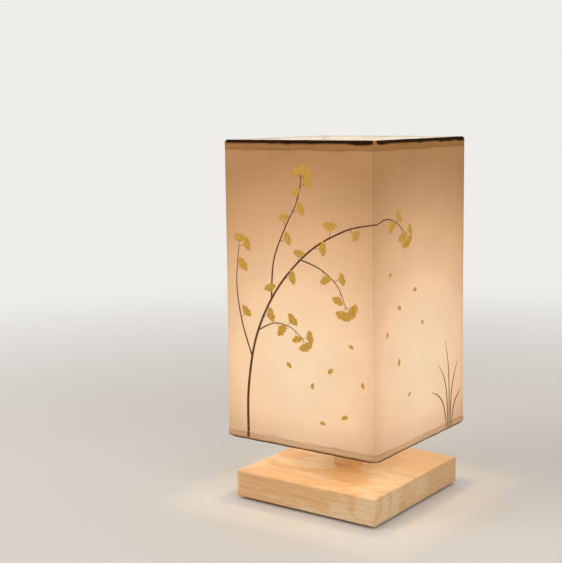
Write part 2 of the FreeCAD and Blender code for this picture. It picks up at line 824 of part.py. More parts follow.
def fitter_ring():
    """The flat steel ring of the shade, clamped between the casing's seat and the nut."""
    body = new_body("fitter_ring", z="fitter_bottom")
    section = new_sketch(body, "section", "XZ_Plane")
    rectangle(section, "fitter_bore", "0", "fitter_radius", "fitter_thickness")
    turn(body, "washer", section)


def spider_arms():
    """Four bent wires from the fitter's edge down to the middle of each side of the bottom frame."""
    body = new_body("spider_arms", z="fitter_middle", solids=4)
    line = new_sketch(body, "line", "XZ_Plane")
    route(line, [
        ("fitter_radius", "0"),
        ("arm_corner - arm_lead", "0"),
        ("arm_bend_x", "-arm_bend_z"),
        ("arm_end_x", "-arm_end_z"),
    ], {1: ("arm_bend", RIGHT)})
    section = new_sketch(body, "section", "YZ_Plane", offset="fitter_radius")
    circle(section, "arm_radius")
    doc.recompute()
    arm = pipe(body, "arm", section, line)
    repeat(body, "arms", [arm], 4)


def frame_ring(name, height):
    """A square of wire with bent corners, at one end of the shade."""
    body = new_body(name, z=height)
    line = new_sketch(body, "line", "XY_Plane")
    bend = ("frame_bend", LEFT)
    outline(line, [
        ("-ring_straight", "-ring_half"),
        ("ring_straight", "-ring_half"),
        ("ring_half", "-ring_straight"),
        ("ring_half", "ring_straight"),
        ("ring_straight", "ring_half"),
        ("-ring_straight", "ring_half"),
        ("-ring_half", "ring_straight"),
        ("-ring_half", "-ring_straight"),
    ], {1: bend, 3: bend, 5: bend, 7: bend})
    section = new_sketch(body, "section", "YZ_Plane")
    circle(section, "wire_radius", ("-ring_half", "0"))
    doc.recompute()
    pipe(body, "wire", section, line)


def corner_rods():
    """Four upright wires that hold the two squares of wire apart."""
    body = new_body("corner_rods", z="rod_bottom", angle=QUARTER_TURN / 2, solids=4)
    round_end = new_sketch(body, "section", "XY_Plane")
    circle(round_end, "rod_radius", ("rod_reach", "0"))
    rod = pad(body, "rod", round_end, "rod_length")
    repeat(body, "rods", [rod], 4)


def panel(name, x, y, angle):
    """One cloth panel, drawn with its outer face at y = 0 and its inside towards +Y, then turned."""
    body = new_body(name, z="shade_bottom", x=x, y=y, angle=angle)
    section = new_sketch(body, "section", "YZ_Plane")
    fold = ("fold_radius", LEFT)
    outline(section, [
        ("0", "fold_radius"),
        ("fold_radius", "0"),
        ("outer_leg_x", "outer_leg_z"),
        ("two_cloths", "outer_pinch"),
        ("two_cloths", "hem_height"),
        ("cloth", "hem_height"),
        ("cloth", "upper_hem"),
        ("two_cloths", "upper_hem"),
        ("two_cloths", "shade_height - outer_pinch"),
        ("outer_leg_x", "shade_height - outer_leg_z"),
        ("fold_radius", "shade_height"),
        ("0", "upper_fold"),
    ], {0: fold, 1: fold, 9: fold, 10: fold})
    tunnel = ("fold_bore", LEFT)
    outline(section, [
        ("cloth", "fold_radius"),
        ("fold_radius", "cloth"),
        ("bore_leg_x", "bore_leg_z"),
        ("cloth", "hem_pinch"),
    ], {0: tunnel, 1: tunnel})
    outline(section, [
        ("cloth", "shade_height - hem_pinch"),
        ("bore_leg_x", "shade_height - bore_leg_z"),
        ("fold_radius", "shade_height - cloth"),
        ("cloth", "upper_fold"),
    ], {1: tunnel, 2: tunnel})
    pad(body, "cloth", section, "shade_side", midplane=True)
    seam = new_sketch(body, "seam_outline", "XY_Plane", offset="hem_height")
    rectangle(seam, "shade_half - cloth - seam_allowance", "cloth", "shade_half", "two_cloths")
    pad(body, "seam_allowance", seam, "shade_height - hem_height * 2")
    notches = new_sketch(body, "notch_outlines", "XZ_Plane", offset="-cloth")
    inner, outer = "shade_half - corner_notch", "shade_half + overrun"
    for low, high in (("fold_radius - cloth", "hem_height"), ("upper_hem", "upper_fold + cloth")):
        rectangle(notches, inner, low, outer, high)
        rectangle(notches, "-shade_half - overrun", low, "corner_notch - shade_half", high)
    rectangle(notches, "-arm_notch / 2", "fold_radius - cloth", "arm_notch / 2", "hem_height")
    pocket(body, "notches", notches, "fold_depth + overrun")
    reliefs = new_sketch(body, "relief_outlines", "XZ_Plane", offset="-fold_radius")
    for low, high in (("-overrun", "fold_radius"), ("upper_fold", "shade_height + overrun")):
        rectangle(reliefs, "ring_straight", low, outer, high)
        rectangle(reliefs, "-shade_half - overrun", low, "-ring_straight", high)
    pocket(body, "corner_reliefs", reliefs, "fold_radius + overrun")
    mitre = new_sketch(body, "mitre_outlines", "XY_Plane")
    outline(mitre, [
        ("shade_half + overrun", "-overrun"),
        ("shade_half + overrun", "fold_depth + overrun"),
        ("shade_half - fold_depth - overrun", "fold_depth + overrun"),
    ])
    outline(mitre, [
        ("-shade_half - overrun", "-overrun"),
        ("-shade_half - overrun", "fold_depth + overrun"),
        ("fold_depth + overrun - shade_half", "fold_depth + overrun"),
    ])
    pocket(body, "mitres", mitre, reverse=True)


def bulb_contact():
    """The round solder tip of the bulb."""
    body = new_body("bulb_contact", z="bulb_floor")
    section = new_sketch(body, "section", "XZ_Plane")
    outline(section, [
        ("0", "0"),
        ("tip_flat", "0"),
        ("tip_radius", "tip_dome"),
        ("tip_radius", "tip_height"),
        ("0", "tip_height"),
    ])
    turn(body, "tip", section)


def bulb_insulator():
    """The dark insulating cone between the tip and the metal cap."""
    body = new_body("bulb_insulator", z="bulb_floor")
    section = new_sketch(body, "section", "XZ_Plane")
    outline(section, [
        ("0", "tip_height"),
        ("insulator_foot", "tip_height"),
        ("insulator_radius", "insulator_top"),
        ("insulator_radius", "insulator_top + insulator_core"),
        ("0", "insulator_top + insulator_core"),
    ])
    turn(body, "cone", section)


def bulb_cap():
    """The metal screw cap of the bulb, a thin shell with a flared rim."""
    body = new_body("bulb_cap", z="bulb_floor")
    section = new_sketch(body, "section", "XZ_Plane")
    outline(section, [
        ("insulator_radius", "insulator_top"),
        ("cap_foot", "insulator_top"),
        ("bulb_cap_radius", "insulator_top + bulb_cap_cone"),
        ("bulb_cap_radius", "cap_slope_bottom"),
        ("bulb_cap_rim", "cap_rim_bottom"),
        ("bulb_cap_rim", "bulb_cap_height"),
        ("cap_rim_inside", "bulb_cap_height"),
        ("cap_rim_inside", "cap_rim_bottom"),
        ("cap_inside", "cap_slope_bottom"),
        ("cap_inside", "insulator_top + bulb_cap_cone"),
    ])
    turn(body, "shell", section)


def bulb_glass():
    """The blown glass envelope: a neck that flares into a globe, closed at the top."""
    body = new_body("bulb_glass", z="bulb_floor")
    section = new_sketch(body, "section", "XZ_Plane")
    outline(section, [
        ("bulb_neck", "bulb_foot"),
        ("bulb_neck", "flare_bottom"),
        ("globe_x", "globe_z"),
        ("0", "bulb_centre + bulb_radius"),
        ("0", "bulb_centre + hollow_radius"),
        ("hollow_x", "hollow_z"),
        ("hollow_neck", "flare_bottom"),
        ("hollow_neck", "bulb_foot"),
    ], {
        1: ("bulb_flare", RIGHT),
        2: ("bulb_radius", LEFT),
        4: ("hollow_radius", RIGHT),
        5: ("hollow_flare", LEFT),
    })
    turn(body, "globe", section)


def bulb_stem():
    """The glass mount in the neck: a hollow flare, a pinch and a rod with a button."""
    body = new_body("bulb_stem", z="bulb_floor")
    section = new_sketch(body, "section", "XZ_Plane")
    outline(section, [
        ("mount_radius - mount_wall", "mount_foot"),
        ("mount_radius", "mount_foot"),
        ("mount_waist", "mount_flare_top"),
        ("pinch_radius", "pinch_top"),
        ("mount_rod_radius", "pinch_top"),
        ("mount_rod_radius", "mount_rod_top"),
        ("button_radius", "mount_rod_top"),
        ("mount_rod_radius", "button_top"),
        ("0", "button_top"),
        ("0", "mount_flare_top - mount_wall"),
        ("mount_waist - mount_wall", "mount_flare_top - mount_wall"),
    ])
    turn(body, "mount", section)


def bulb_leads():
    """Two lead wires from the pinch to the ends of the filament, and one support from the button."""
    body = new_body("bulb_leads", z="bulb_floor", solids=3)
    line = new_sketch(body, "line", "XZ_Plane")
    route(line, [
        ("lead_reach", "pinch_top"),
        ("lead_reach", "pinch_top + lead_straight"),
        ("filament_span", "lead_top - lead_bend"),
        ("filament_span", "lead_top"),
    ])
    section = new_sketch(body, "section", "XY_Plane", offset="pinch_top")
    circle(section, "lead_radius", ("lead_reach", "0"))
    doc.recompute()
    lead = pipe(body, "lead", section, line)
    repeat(body, "leads", [lead], 2)
    support = new_sketch(body, "support_outline", "XY_Plane", offset="button_top")
    circle(support, "lead_radius")
    pad(body, "support", support, "support_height")


def bulb_filament():
    """The coiled filament, drawn as one bowed wire of the coil's outer size."""
    body = new_body("bulb_filament", z="bulb_floor")
    line = new_sketch(body, "line", "XZ_Plane")
    route(line, [
        ("-filament_span", "bulb_centre"),
        ("0", "bulb_centre + filament_rise"),
        ("filament_span", "bulb_centre"),
    ], {0: ("filament_bow", RIGHT), 1: ("filament_bow", RIGHT)})
    section = new_sketch(body, "section", "YZ_Plane")
    circle(section, "filament_radius", ("0", "bulb_centre + filament_rise"))
    doc.recompute()
    pipe(body, "coil", section, line)


def check_and_write():
    """Stop on any failed object or wrong shape, then write one file for each sub-part."""
    failed = [item.Label for item in doc.Objects if "Invalid" in item.State or "Error" in item.State]
    for body, solids in parts:
        shape = body.Shape
        if shape.isNull() or not shape.isValid() or len(shape.Solids) != solids:
            failed.append(f"{body.Label} with {len(shape.Solids)} solids")
    if failed:
        raise RuntimeError("not built: " + ", ".join(failed))
    os.makedirs("parts", exist_ok=True)
    for body, _ in parts:
        body.Shape.exportStep(f"parts/{body.Label}.step")


fill_sheet()
base_block()
foot_pads()
threaded_tube()
base_washer()
base_nut()
stem_sleeve()
holder_cap()
neck_screw()
holder_insert()
terminal_screws()
centre_contact()
screw_shell()
holder_skirt()
shade_ring()
fitter_ring()
spider_arms()
frame_ring("bottom_ring", "bottom_wire")
frame_ring("top_ring", "top_wire")
corner_rods()
panel("panel_front", "0", "-shade_half", 0)
panel("panel_right", "shade_half", "0", QUARTER_TURN)
panel("panel_back", "0", "shade_half", QUARTER_TURN * 2)
panel("panel_left", "-shade_half", "0", QUARTER_TURN * 3)
bulb_contact()
bulb_insulator()
bulb_cap()
bulb_glass()
bulb_stem()
bulb_leads()
bulb_filament()
check_and_write()
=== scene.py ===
"""Looks of the square fabric table lamp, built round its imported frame.

The scene is in metres, +Z up, and the front panel faces -Y. Shapes are worked out in millimetres.
"""

import math
import random

import bpy
from mathutils import Matrix, Vector, noise


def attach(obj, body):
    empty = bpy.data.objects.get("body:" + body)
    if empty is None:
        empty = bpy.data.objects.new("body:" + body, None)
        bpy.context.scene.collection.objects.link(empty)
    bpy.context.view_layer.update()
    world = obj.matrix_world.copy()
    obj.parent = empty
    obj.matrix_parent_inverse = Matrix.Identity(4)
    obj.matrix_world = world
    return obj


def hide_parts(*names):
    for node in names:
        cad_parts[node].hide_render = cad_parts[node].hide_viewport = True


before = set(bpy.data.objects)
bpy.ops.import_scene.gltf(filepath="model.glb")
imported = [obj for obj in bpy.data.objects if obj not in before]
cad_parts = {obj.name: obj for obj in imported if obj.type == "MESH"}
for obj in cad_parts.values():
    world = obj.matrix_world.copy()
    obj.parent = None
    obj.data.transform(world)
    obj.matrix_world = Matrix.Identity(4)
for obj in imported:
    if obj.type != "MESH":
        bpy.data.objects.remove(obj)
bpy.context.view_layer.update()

MM = 0.001
QUARTERS = ((1, 0), (0, 1), (-1, 0), (0, -1))
SIDES = ("front", "right", "back", "left")
# Edges that turn by more than this many degrees are shaded sharp
SHARP_EDGE = 40

# The shade in millimetres: half its side, its lower and upper edge, the height of its brightest ring
HALF = 74
LOW, HIGH = 56.5, 310.5
GLOW_HEIGHT = 127
# Its cloth, the wire in its rolled hems and the roll round that wire
CLOTH = 0.5
WIRE_DEPTH = 2.25
ROLL_RADIUS = 1.95
PINCH_DEPTH, PINCH_HEIGHT = 0.95, 6.4
FLAP_DEPTH, HEM = 0.9, 8
# Rounding of its corners, the least of it inside a fold, and the cut-outs for the rods and arms
CORNER, FOLD_CORNER = 1.5, 0.3
CORNER_NOTCH, ARM_NOTCH = 8, 5.6
# The loose cloth spreads a little towards its lower edge, and lifts at the corners of that edge
SPREAD, SPREAD_TOP = 0.008, 190
CORNER_LIFT = 0.9
# The seam allowance inside each panel: its columns along the side, its depth, ends, steps and thickness
STRIP_COLUMNS = (68.2, 69.5, 70.8, 72.2)
STRIP_DEPTH, STRIP_MARGIN, STRIP_STEPS, STRIP_THICKNESS = 0.92, 0.8, 90, 0.45
# Layers of ink: how thick they are, and how far the twigs lie off the cloth
INK, INK_LIFT = 0.06, 0.09
# The place where a twig runs round a corner to the next side, and its width there
BEND_HEIGHT, BEND_WIDTH = 246, 1.1
# The share of a twig below its first leaf, and how far out along a side a leaf may hang
FIRST_LEAF, LEAF_REACH = 0.38, 62
# The wood, in metres: how far its pith lies below the floor and to the front, and the width of a ring
PITH_BELOW, PITH_FRONT, RING_WIDTH = 0.11, 0.024, 0.0052
# The studio's soft boxes: name, place, size and power
SOFT_BOXES = (
    ("key", (-0.9, -1.3, 1.5), 1.3, 16),
    ("fill", (1.5, -0.8, 1.0), 1.5, 12),
    ("top", (0.1, 0.4, 1.9), 1.6, 9),
)
# The lamp's own light, from its bulb and back from its cloth: name, height, radius and power
LAMP_LIGHTS = (
    ("bulb_light", 0.139, 0.012, 0.23),
    ("cloth_light", 0.100, 0.062, 0.34),
)
BOX_COLOUR, LAMP_COLOUR = (1.0, 0.975, 0.94), (1.0, 0.72, 0.44)
# The camera at the photograph's place: metres, then degrees round the vertical, down and about its view
CAMERA_PLACE = (0.529, -0.814, 0.333)
CAMERA_ROUND, CAMERA_DOWN, CAMERA_ROLL = 35.27, 7.42, -0.58
CAMERA_LENS, CAMERA_SHIFT = 72.58, -0.0391


def smooth(share):
    """0 to 1 with soft ends."""
    share = min(max(share, 0), 1)
    return share * share * (3 - 2 * share)


def rgb(red, green, blue):
    return (red, green, blue, 1)


class Paint:
    """A material made of nodes, drawn in the frame's own coordinates, in metres."""

    def __init__(self, name):
        self.material = bpy.data.materials.new(name)
        self.material.use_nodes = True
        self.tree = self.material.node_tree
        self.tree.nodes.clear()
        self.where = self.add("TexCoord").outputs["Object"]
        self.x, self.y, self.z = self.add("SeparateXYZ", {0: self.where}).outputs

    def add(self, kind, sockets=None, **settings):
        node = self.tree.nodes.new("ShaderNode" + kind)
        for key, value in settings.items():
            setattr(node, key, value)
        for key, value in (sockets or {}).items():
            if isinstance(value, bpy.types.NodeSocket):
                self.tree.links.new(value, node.inputs[key])
            else:
                node.inputs[key].default_value = value
        return node

    def calc(self, operation, *values):
        return self.add("Math", dict(enumerate(values)), operation=operation).outputs[0]

    def between(self, value, start, end, low=0.0, high=1.0):
        """low before start and high after end, with a soft change."""
        sockets = {"Value": value, "From Min": start, "From Max": end, "To Min": low, "To Max": high}
        return self.add("MapRange", sockets, interpolation_type="SMOOTHSTEP").outputs[0]

    def mix(self, share, first, second, mode="MIX"):
        sockets = {0: share, 6: first, 7: second}
        return self.add("Mix", sockets, data_type="RGBA", blend_type=mode).outputs[2]

    def ramp(self, value, *stops):
        node = self.add("ValToRGB", {0: value})
        stack = node.color_ramp.elements
        for place, colour in stops[2:]:
            stack.new(place)
        for element, (place, colour) in zip(stack, stops):
            element.position = place
            element.color = colour
        return node.outputs[0]

    def stretched(self, scale, offset=(0, 0, 0)):
        return self.add("Mapping", {"Vector": self.where, "Scale": scale, "Location": offset}).outputs[0]

    def speckle(self, scale, where=None, detail=3.0, roughness=0.5, distortion=0.0):
        sockets = {"Scale": scale, "Detail": detail, "Roughness": roughness, "Distortion": distortion}
        sockets["Vector"] = where or self.where
        return self.add("TexNoise", sockets).outputs[0]

    def bump(self, height, strength, distance):
        return self.add("Bump", {"Height": height, "Strength": strength, "Distance": distance}).outputs[0]

    def finish(self, shader):
        self.add("OutputMaterial", {"Surface": shader})
        return self.material

    def surface(self, colour, roughness, normal=None, **constants):
        sockets = {"Base Color": colour, "Roughness": roughness}
        if normal:
            sockets["Normal"] = normal
        for key, value in constants.items():
            sockets[key.replace("_", " ")] = value
        return self.add("BsdfPrincipled", sockets).outputs[0]


def cloth_paint(name, inside):
    """Tan cotton with painted light from within, brightest level with the bulb.

    It has painted shade where a hem, a seam allowance or a rod lies behind it, and along its rolled edges.
    """
    p = Paint(name)
    across, along = p.calc("ABSOLUTE", p.x), p.calc("ABSOLUTE", p.y)
    corner = p.calc("MINIMUM", across, along)
    from_lamp = p.add("VectorMath", {0: p.where, 1: (0, 0, -GLOW_HEIGHT * MM)}, operation="ADD").outputs[0]
    distance = p.add("VectorMath", {0: from_lamp}, operation="LENGTH").outputs["Value"]
    near = p.calc("DIVIDE", HALF * MM, distance)
    # threads half a millimetre apart, and the slubs that run along some of them
    thread = 2 * math.pi / 0.0005
    warp = p.calc("SINE", p.calc("MULTIPLY", p.calc("ADD", p.x, p.y), thread))
    weft = p.calc("SINE", p.calc("MULTIPLY", p.z, thread))
    weave = p.calc("MULTIPLY", warp, weft)
    slub = p.calc(
        "ADD",
        p.speckle(1.0, p.stretched((1500, 1500, 60)), 2.0),
        p.speckle(1.0, p.stretched((60, 60, 1500)), 2.0),
    )
    cloudy = p.between(p.speckle(28.0), 0.3, 0.7, 0.975, 1.02)
    # hems: painted shade where two cloths lie, and a soft painted shade line where the fold ends
    above, below = p.calc("SUBTRACT", HIGH * MM, p.z), p.calc("SUBTRACT", p.z, LOW * MM)
    upper = p.between(p.z, 0.2, 0.25)
    rag = p.calc("MULTIPLY", p.calc("SUBTRACT", p.speckle(70.0, None, 2.0), 0.5), 0.0018)
    edge = p.calc("ADD", p.calc("MINIMUM", above, p.calc("ADD", below, 0.0014)), rag)
    hem = p.between(edge, 0.0074, 0.0084, 1.0, 0.0)
    line = p.calc("MULTIPLY", p.between(edge, 0.0066, 0.0078), p.between(edge, 0.0080, 0.0090, 1.0, 0.0))
    line = p.calc("MULTIPLY", line, p.between(p.z, 0.2, 0.25, 0.06, 0.12))
    # painted shade in fine upright creases near the hems
    crease_shade = p.between(p.speckle(1.0, p.stretched((38, 38, 420)), 3.0), 0.48, 0.70, 0.0, 0.16)
    crease_shade = p.calc("MULTIPLY", crease_shade, p.between(edge, 0.0074, 0.0130, 1.0, 0.0))
    # painted shade towards the lower edge of the cloth
    foot = p.between(below, 0.008, 0.030, 0.12, 0.0)
    # painted shade of the seam allowance to the right of each panel,
    # and the painted shadow of the rod behind the corner
    turned = p.calc(
        "MULTIPLY",
        p.calc("MULTIPLY", p.x, p.y),
        p.calc("SUBTRACT", p.calc("MULTIPLY", p.y, p.y), p.calc("MULTIPLY", p.x, p.x)),
    )
    on_strip = p.calc("LESS_THAN", turned, 0.0)
    strip = p.calc("MULTIPLY", on_strip, p.between(corner, 0.0676, 0.0684, 0.0, 0.01))
    strip_edge_shade = p.between(corner, 0.0680, 0.0688, 1.0, 0.0)
    strip_edge_shade = p.calc("MULTIPLY", p.between(corner, 0.0670, 0.0678), strip_edge_shade)
    strip_edge_shade = p.calc("MULTIPLY", on_strip, p.calc("MULTIPLY", strip_edge_shade, 0.04))
    rod = p.calc("MULTIPLY", p.between(corner, 0.0707, 0.0717), p.between(p.z, 0.08, 0.30, 0.055, 0.125))
    rod = p.calc("MULTIPLY", rod, p.calc("MULTIPLY_ADD", on_strip, 0.75, 0.25))
    # the cloth's own random tone and slubs, times each painted shade mark
    shade = p.calc("MULTIPLY", cloudy, p.between(slub, 0.7, 1.3, 0.98, 1.015))
    for darker in (rod, strip, strip_edge_shade, line, crease_shade, foot):
        shade = p.calc("MULTIPLY", shade, p.calc("SUBTRACT", 1.0, darker))
    if inside:
        tan = rgb(0.14, 0.145, 0.15)
        glow = p.ramp(
            near,
            (0.36, rgb(0.84, 0.71, 0.56)),
            (0.55, rgb(0.74, 0.63, 0.48)),
            (1.0, rgb(0.53, 0.44, 0.31)),
        )
        # the inside shows the hems' painted shade only faintly
        hem = p.calc("MULTIPLY", hem, 0.15)
        # painted shade along the top edge of the inner face
        dark = p.between(above, 0.0005, 0.0011, 0.2, 0.0)
    else:
        tan = rgb(0.52, 0.28, 0.125)
        glow = p.ramp(
            near,
            (0.40, rgb(0.0, 0.0, 0.0)),
            (0.56, rgb(0.275, 0.19, 0.125)),
            (0.76, rgb(0.475, 0.375, 0.265)),
            (1.0, rgb(0.505, 0.46, 0.34)),
        )
        # painted shade: the dark line of the roll round the upper wire, covered at the corners,
        # and the thin one under the lower hem
        dips = p.between(p.speckle(48.0, None, 2.0), 0.40, 0.75, -0.0004, 0.0010)
        roll = p.between(p.calc("SUBTRACT", above, dips), 0.0022, 0.0041, 1.0, 0.0)
        covered = p.between(corner, 0.0712, 0.0722, 1.0, 0.15)
        roll = p.calc("MULTIPLY", p.calc("MULTIPLY", roll, upper), covered)
        under = p.between(p.calc("ADD", below, p.calc("MULTIPLY", rag, 0.5)), 0.0006, 0.0030, 1.0, 0.0)
        dark = p.calc("MAXIMUM", roll, under)
    # the cloth's tone with its painted shade, as a grey
    grey = p.add("CombineXYZ", {0: shade, 1: shade, 2: shade}).outputs[0]
    # painted shade of the hems, where the cloth lies double
    double_cloth_shade = p.mix(upper, rgb(0.81, 0.76, 0.70), rgb(0.80, 0.71, 0.56))
    grey = p.mix(hem, grey, p.mix(1.0, grey, double_cloth_shade, "MULTIPLY"))
    # the brown of the painted shade lines, browner under the lower hem
    brown = p.mix(upper, rgb(0.13, 0.045, 0.006), rgb(0.022, 0.008, 0.002))
    base = p.mix(dark, p.mix(1.0, tan, grey, "MULTIPLY"), brown)
    # no painted light where the painted shade lines lie
    glow = p.mix(dark, p.mix(1.0, glow, grey, "MULTIPLY"), rgb(0, 0, 0))
    normal = p.bump(p.calc("ADD", weave, slub), 0.2, 0.0001)
    lit = {"Emission_Color": glow, "Emission_Strength": 1.0}
    return p.finish(p.surface(base, 0.86, normal, Specular_IOR_Level=0.05, **lit))


def wood_paint():
    """Oiled pale wood, its grain along X, with orange patches and dark pores."""
    p = Paint("honey_wood")
    # rings round a pith that lies outside the block, slightly bent, each darker towards its outer edge
    drift = p.speckle(1.0, p.stretched((9, 26, 26)), 3.0)
    bend = p.calc("MULTIPLY", p.calc("SUBTRACT", drift, 0.5), 0.030)
    up = p.calc("ADD", p.z, PITH_BELOW)
    across = p.calc("ADD", p.y, PITH_FRONT)
    square = p.calc("ADD", p.calc("MULTIPLY", up, up), p.calc("MULTIPLY", across, across))
    rings = p.calc("ADD", p.calc("SQRT", square), bend)
    ring = p.calc("FRACT", p.calc("MULTIPLY", rings, 1 / RING_WIDTH))
    late = p.calc("MULTIPLY", p.between(ring, 0.30, 0.92), p.between(ring, 0.93, 1.0, 1.0, 0.0))
    pores = p.speckle(1.0, p.stretched((70, 2600, 2600)), 2.0)
    fine = p.speckle(1.0, p.stretched((16, 520, 520)), 4.0)
    # orange patches, and a darker, redder part towards the back of the right side
    patch = p.speckle(1.0, p.stretched((15, 24, 24), (3.1, 0.4, 0)), 3.0, 0.6, 0.8)
    colour = p.mix(p.between(patch, 0.47, 0.60), rgb(0.76, 0.545, 0.32), rgb(0.70, 0.40, 0.175))
    redder_back_right = p.calc("MULTIPLY_ADD", p.calc("ADD", p.x, p.y), 6.0, drift)
    redder_back_right = p.between(redder_back_right, 0.72, 1.10, 0.0, 0.75)
    colour = p.mix(redder_back_right, colour, rgb(0.62, 0.34, 0.125))
    colour = p.mix(p.calc("MULTIPLY", late, 0.30), colour, rgb(0.79, 0.58, 0.37), "MULTIPLY")
    colour = p.mix(p.between(fine, 0.35, 0.72, 0.0, 0.30), colour, rgb(0.84, 0.62, 0.36))
    colour = p.mix(p.between(pores, 0.60, 0.74, 0.0, 0.40), colour, rgb(0.40, 0.21, 0.09))
    rough = p.between(fine, 0.3, 0.7, 0.42, 0.56)
    height = p.calc("SUBTRACT", p.calc("MULTIPLY", late, 0.6), p.between(pores, 0.58, 0.75))
    wood = p.surface(colour, rough, p.bump(height, 0.35, 0.00012), Coat_Weight=0.06, Coat_Roughness=0.35)
    return p.finish(wood)


def plain_paint(name, colour, rough, metallic=0.0, grain=(400, 400, 400)):
    """One finish with slight changes of colour and gloss, and a fine grain."""
    spread = 0.06
    p = Paint(name)
    fine = p.speckle(1.0, p.stretched(grain), 3.0)
    wide = p.speckle(45.0)
    dull = rgb(*(part * (1 - spread * 2) for part in colour))
    lit = rgb(*(min(part * (1 + spread), 1) for part in colour))
    mottled = p.mix(p.between(wide, 0.35, 0.65), dull, lit)
    mottled = p.mix(p.between(fine, 0.3, 0.7, 0.0, 0.35), mottled, rgb(*colour))
    gloss = p.between(fine, 0.25, 0.75, rough * 0.85, rough * 1.15)
    return p.finish(p.surface(mottled, gloss, p.bump(fine, 0.3, 0.00004), Metallic=metallic))


def glass_paint():
    """Clear glass that lets the lamp's own light out."""
    p = Paint("clear_glass")
    ripple = p.speckle(60.0, None, 1.0)
    rough = p.between(ripple, 0.3, 0.7, 0.0, 0.02)
    normal = p.bump(ripple, 0.1, 0.0002)
    glass = p.surface(rgb(0.97, 0.97, 0.95), rough, normal, Transmission_Weight=1.0, IOR=1.45)
    open_glass = p.add("BsdfTransparent", {"Color": rgb(0.96, 0.96, 0.94)}).outputs[0]
    shadow = p.add("LightPath").outputs["Is Shadow Ray"]
    return p.finish(p.add("MixShader", {0: shadow, 1: glass, 2: open_glass}).outputs[0])


def hot_paint():
    """The glowing filament, a little cooler towards its ends."""
    p = Paint("hot_filament")
    ends = p.between(p.calc("ABSOLUTE", p.x), 0.004, 0.011)
    colour = p.mix(ends, rgb(1.0, 0.74, 0.40), rgb(1.0, 0.50, 0.18))
    return p.finish(p.surface(rgb(0.35, 0.20, 0.10), 0.5, Emission_Color=colour, Emission_Strength=8.0))


def floor_paint(pale):
    """A plain pale floor that fades into the pale surroundings far from the lamp.

    Only what the camera, a mirror or glass shows of it fades: its own light and shadows stay.
    """
    p = Paint("studio_floor")
    flat = p.calc("SQRT", p.calc("ADD", p.calc("MULTIPLY", p.x, p.x), p.calc("MULTIPLY", p.y, p.y)))
    far = p.between(flat, 0.25, 1.3)
    fine = p.speckle(700.0, None, 2.0)
    colour = p.mix(p.between(fine, 0.3, 0.7), rgb(0.66, 0.635, 0.60), rgb(0.70, 0.675, 0.64))
    top = p.surface(colour, 0.75, p.bump(fine, 0.15, 0.0002))
    glow = p.add("Emission", {"Color": pale, "Strength": 1.0}).outputs[0]
    path = p.add("LightPath").outputs
    seen = p.calc("MAXIMUM", path["Is Glossy Ray"], path["Is Transmission Ray"])
    seen = p.calc("MAXIMUM", path["Is Camera Ray"], seen)
    return p.finish(p.add("MixShader", {0: p.calc("MULTIPLY", far, seen), 1: top, 2: glow}).outputs[0])


def piece(name, points, faces, body, slot, paints, picks=None):
    """A mesh from points in millimetres that rides on a body. picks gives each face's place in paints."""
    mesh = bpy.data.meshes.new(name)
    mesh.from_pydata([Vector(point) * MM for point in points], [], faces)
    for paint in paints:
        mesh.materials.append(paint)
    if picks:
        mesh.polygons.foreach_set("material_index", picks)
    mesh.polygons.foreach_set("use_smooth", [True] * len(faces))
    mesh.update()
    mesh.set_sharp_from_angle(angle=math.radians(SHARP_EDGE))
    made = bpy.data.objects.new(name, mesh)
    bpy.context.scene.collection.objects.link(made)
    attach(made, body)
    return made


def shell(grid, thickness, keep=None):
    """Points, faces and (row, side) tags of a thin closed sheet round a grid of points.

    Side 0 faces the way of (along x up), side 1 the other way, and side 2 is the rim.
    """
    rows, columns = len(grid), len(grid[0])
    points = []
    for sign in (0.5, -0.5):
        for i in range(rows):
            low, high = grid[max(i - 1, 0)], grid[min(i + 1, rows - 1)]
            for j in range(columns):
                up = high[j] - low[j]
                along = grid[i][min(j + 1, columns - 1)] - grid[i][max(j - 1, 0)]
                points.append(grid[i][j] + along.cross(up).normalized() * thickness * sign)
    back = rows * columns
    faces, tags, edges = [], [], {}
    for i in range(rows - 1):
        for j in range(columns - 1):
            if keep and not keep(i, j):
                continue
            a = i * columns + j
            b, c, d = a + 1, a + columns + 1, a + columns
            faces += [(a, b, c, d), (a + back, d + back, c + back, b + back)]
            tags += [(i, 0), (i, 1)]
            edges.update({(a, b): i, (b, c): i, (c, d): i, (d, a): i})
    for (a, b), i in edges.items():
        if (b, a) not in edges:
            faces.append((b, a, a + back, b + back))
            tags.append((i, 2))
    used = sorted({index for face in faces for index in face})
    place = {index: n for n, index in enumerate(used)}
    faces = [tuple(place[index] for index in face) for face in faces]
    return [points[index] for index in used], faces, tags


def on_side(side, u, depth, z):
    """A point u along a side of the shade, seen from outside, and depth in from its face."""
    cos, sin = QUARTERS[side]
    wide = 1 + SPREAD * smooth((SPREAD_TOP - z) / (SPREAD_TOP - LOW))
    u, out = u * wide, (depth - HALF) * wide
    return Vector((cos * u - sin * out, sin * u + cos * out, z))


def swell(side, u, z):
    """How far the cloth stands out from the flat.

    It is pulled in slightly at its middle, and has slow waves and puckers at the hems.
    """
    held = smooth((HALF - abs(u)) / 14)
    height = min(z - LOW, HIGH - z)
    free = smooth(height / 24)
    middle = 1 - ((z - (LOW + HIGH) / 2) / (HIGH - LOW) * 2) ** 2
    bow = -0.55 * (1 - (u / HALF) ** 2) * middle
    slow = noise.noise(Vector((u * 0.020, z * 0.016, side * 7.3 + 2))) * 0.55
    tugs = noise.noise(Vector((u * 0.12, z * 0.018, side * 3.1 + 9))) * math.exp(-((height - HEM) / 9) ** 2)
    return held * (free * (bow + slow) + 0.34 * tugs)


def puff(side, u, top):
    """How much thicker the roll round a wire is here."""
    wave = noise.noise(Vector((u * 0.055, side * 5.7, 3.0 if top else 8.0)))
    small = noise.noise(Vector((u * 0.21, side * 2.9, 5.0 if top else 1.0)))
    loose = 0.16 if top else 0.42
    return loose + 0.20 * wave + 0.10 * small


